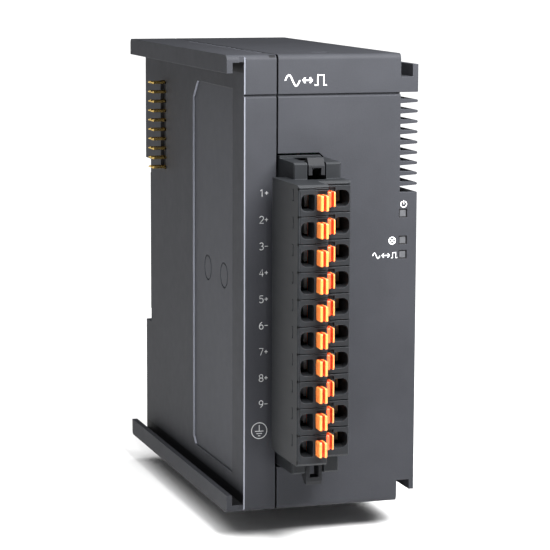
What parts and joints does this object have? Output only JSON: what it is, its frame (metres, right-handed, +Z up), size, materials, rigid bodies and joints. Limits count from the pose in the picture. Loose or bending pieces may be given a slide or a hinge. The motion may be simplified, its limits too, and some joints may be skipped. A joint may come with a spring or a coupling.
{
  "type": "plc input and output module",
  "caption": "Narrow rail-mounted controller module with a side vent, bus pins and a removable two-column spring-clamp terminal plug.",
  "frame": {"origin": "on the face that seats on the rail, at the middle of the module's width and height", "axes": "+X to the module's right, +Y to the rear into the rail, +Z up"},
  "size_m": [0.0384, 0.0972, 0.0933],
  "materials": {
    "housing": "fine spark-eroded texture, charcoal grey",
    "plug": "satin black",
    "latch": "satin dark grey",
    "pusher": "moulded orange",
    "black_plastic": "black moulding",
    "gold": "gold-plated",
    "copper": "tinned copper alloy",
    "steel": "spring steel",
    "aluminium_can": "capacitor can",
    "board": "green solder mask",
    "clear_plastic": "clear light guide",
    "light_chip": "surface-mount light"
  },
  "bodies": {
    "housing": {"left_shell": "housing", "right_shell": "housing", "rail_latch_spring": "steel", "ground_spring": "steel", "power_board": "board", "main_board": "board", "front_board": "board", "board_connectors": "black_plastic", "board_screws": "steel", "power_converter": "black_plastic", "capacitors": "aluminium_can", "choke": "copper", "isolators": "black_plastic", "processor_chips": "black_plastic", "bus_pin_carrier": "black_plastic", "bus_pins": "gold", "bus_socket": "black_plastic", "bus_socket_contacts": "gold", "light_guide": "clear_plastic", "status_leds": "light_chip", "terminal_header": "black_plastic", "header_pins": "gold"},
    "rail_latch": {"rail_latch": "latch"},
    "plug": {"plug_body": "plug", "plug_contact_carrier": "plug", "current_bars": "copper", "clamp_springs": "steel", "lever_pins": "steel"},
    "top_lever": {"top_lever": "latch"},
    "bottom_lever": {"bottom_lever": "latch"},
    "left_pusher_1": {"left_pusher_1": "pusher"},
    "left_pusher_2": {"left_pusher_2": "pusher"},
    "left_pusher_3": {"left_pusher_3": "pusher"},
    "left_pusher_4": {"left_pusher_4": "pusher"},
    "left_pusher_5": {"left_pusher_5": "pusher"},
    "left_pusher_6": {"left_pusher_6": "pusher"},
    "left_pusher_7": {"left_pusher_7": "pusher"},
    "left_pusher_8": {"left_pusher_8": "pusher"},
    "left_pusher_9": {"left_pusher_9": "pusher"},
    "left_pusher_10": {"left_pusher_10": "pusher"},
    "right_pusher_1": {"right_pusher_1": "pusher"},
    "right_pusher_2": {"right_pusher_2": "pusher"},
    "right_pusher_3": {"right_pusher_3": "pusher"},
    "right_pusher_4": {"right_pusher_4": "pusher"},
    "right_pusher_5": {"right_pusher_5": "pusher"},
    "right_pusher_6": {"right_pusher_6": "pusher"},
    "right_pusher_7": {"right_pusher_7": "pusher"},
    "right_pusher_8": {"right_pusher_8": "pusher"},
    "right_pusher_9": {"right_pusher_9": "pusher"},
    "right_pusher_10": {"right_pusher_10": "pusher"}
  },
  "joints": [
    {"name": "rail_latch_pull", "type": "slide", "parent": "housing", "child": "rail_latch", "axis": [0, 0, -1], "range_m": [0, 0.005], "stiffness_N_per_m": 300, "springref_m": -0.002, "deforming": ["rail_latch_spring"]},
    {"name": "plug_pull_off", "type": "slide", "parent": "housing", "child": "plug", "axis": [0, -1, 0], "range_m": [0, 0.016]},
    {"name": "top_lever_press", "type": "hinge", "parent": "plug", "child": "top_lever", "pos_m": [-0.0062, -0.0728, 0.0226], "axis": [1, 0, 0], "range_deg": [0, 7.5], "stiffness_Nm_per_rad": 0.04, "springref_deg": -2.86},
    {"name": "bottom_lever_press", "type": "hinge", "parent": "plug", "child": "bottom_lever", "pos_m": [-0.0062, -0.0728, -0.0322], "axis": [-1, 0, 0], "range_deg": [0, 7.5], "stiffness_Nm_per_rad": 0.04, "springref_deg": -2.86},
    {"name": "left_pusher_1_press", "type": "slide", "parent": "plug", "child": "left_pusher_1", "axis": [0, 1, 0], "range_m": [0, 0.0015], "stiffness_N_per_m": 300, "springref_m": -0.0005, "deforming": ["clamp_springs"]},
    {"name": "left_pusher_2_press", "type": "slide", "parent": "plug", "child": "left_pusher_2", "axis": [0, 1, 0], "range_m": [0, 0.0015], "stiffness_N_per_m": 300, "springref_m": -0.0005, "deforming": ["clamp_springs"]},
    {"name": "left_pusher_3_press", "type": "slide", "parent": "plug", "child": "left_pusher_3", "axis": [0, 1, 0], "range_m": [0, 0.0015], "stiffness_N_per_m": 300, "springref_m": -0.0005, "deforming": ["clamp_springs"]},
    {"name": "left_pusher_4_press", "type": "slide", "parent": "plug", "child": "left_pusher_4", "axis": [0, 1, 0], "range_m": [0, 0.0015], "stiffness_N_per_m": 300, "springref_m": -0.0005, "deforming": ["clamp_springs"]},
    {"name": "left_pusher_5_press", "type": "slide", "parent": "plug", "child": "left_pusher_5", "axis": [0, 1, 0], "range_m": [0, 0.0015], "stiffness_N_per_m": 300, "springref_m": -0.0005, "deforming": ["clamp_springs"]},
    {"name": "left_pusher_6_press", "type": "slide", "parent": "plug", "child": "left_pusher_6", "axis": [0, 1, 0], "range_m": [0, 0.0015], "stiffness_N_per_m": 300, "springref_m": -0.0005, "deforming": ["clamp_springs"]},
    {"name": "left_pusher_7_press", "type": "slide", "parent": "plug", "child": "left_pusher_7", "axis": [0, 1, 0], "range_m": [0, 0.0015], "stiffness_N_per_m": 300, "springref_m": -0.0005, "deforming": ["clamp_springs"]},
    {"name": "left_pusher_8_press", "type": "slide", "parent": "plug", "child": "left_pusher_8", "axis": [0, 1, 0], "range_m": [0, 0.0015], "stiffness_N_per_m": 300, "springref_m": -0.0005, "deforming": ["clamp_springs"]},
    {"name": "left_pusher_9_press", "type": "slide", "parent": "plug", "child": "left_pusher_9", "axis": [0, 1, 0], "range_m": [0, 0.0015], "stiffness_N_per_m": 300, "springref_m": -0.0005, "deforming": ["clamp_springs"]},
    {"name": "left_pusher_10_press", "type": "slide", "parent": "plug", "child": "left_pusher_10", "axis": [0, 1, 0], "range_m": [0, 0.0015], "stiffness_N_per_m": 300, "springref_m": -0.0005, "deforming": ["clamp_springs"]},
    {"name": "right_pusher_1_press", "type": "slide", "parent": "plug", "child": "right_pusher_1", "axis": [0, 1, 0], "range_m": [0, 0.0015], "stiffness_N_per_m": 300, "springref_m": -0.0005, "deforming": ["clamp_springs"]},
    {"name": "right_pusher_2_press", "type": "slide", "parent": "plug", "child": "right_pusher_2", "axis": [0, 1, 0], "range_m": [0, 0.0015], "stiffness_N_per_m": 300, "springref_m": -0.0005, "deforming": ["clamp_springs"]},
    {"name": "right_pusher_3_press", "type": "slide", "parent": "plug", "child": "right_pusher_3", "axis": [0, 1, 0], "range_m": [0, 0.0015], "stiffness_N_per_m": 300, "springref_m": -0.0005, "deforming": ["clamp_springs"]},
    {"name": "right_pusher_4_press", "type": "slide", "parent": "plug", "child": "right_pusher_4", "axis": [0, 1, 0], "range_m": [0, 0.0015], "stiffness_N_per_m": 300, "springref_m": -0.0005, "deforming": ["clamp_springs"]},
    {"name": "right_pusher_5_press", "type": "slide", "parent": "plug", "child": "right_pusher_5", "axis": [0, 1, 0], "range_m": [0, 0.0015], "stiffness_N_per_m": 300, "springref_m": -0.0005, "deforming": ["clamp_springs"]},
    {"name": "right_pusher_6_press", "type": "slide", "parent": "plug", "child": "right_pusher_6", "axis": [0, 1, 0], "range_m": [0, 0.0015], "stiffness_N_per_m": 300, "springref_m": -0.0005, "deforming": ["clamp_springs"]},
    {"name": "right_pusher_7_press", "type": "slide", "parent": "plug", "child": "right_pusher_7", "axis": [0, 1, 0], "range_m": [0, 0.0015], "stiffness_N_per_m": 300, "springref_m": -0.0005, "deforming": ["clamp_springs"]},
    {"name": "right_pusher_8_press", "type": "slide", "parent": "plug", "child": "right_pusher_8", "axis": [0, 1, 0], "range_m": [0, 0.0015], "stiffness_N_per_m": 300, "springref_m": -0.0005, "deforming": ["clamp_springs"]},
    {"name": "right_pusher_9_press", "type": "slide", "parent": "plug", "child": "right_pusher_9", "axis": [0, 1, 0], "range_m": [0, 0.0015], "stiffness_N_per_m": 300, "springref_m": -0.0005, "deforming": ["clamp_springs"]},
    {"name": "right_pusher_10_press", "type": "slide", "parent": "plug", "child": "right_pusher_10", "axis": [0, 1, 0], "range_m": [0, 0.0015], "stiffness_N_per_m": 300, "springref_m": -0.0005, "deforming": ["clamp_springs"]}
  ]
}
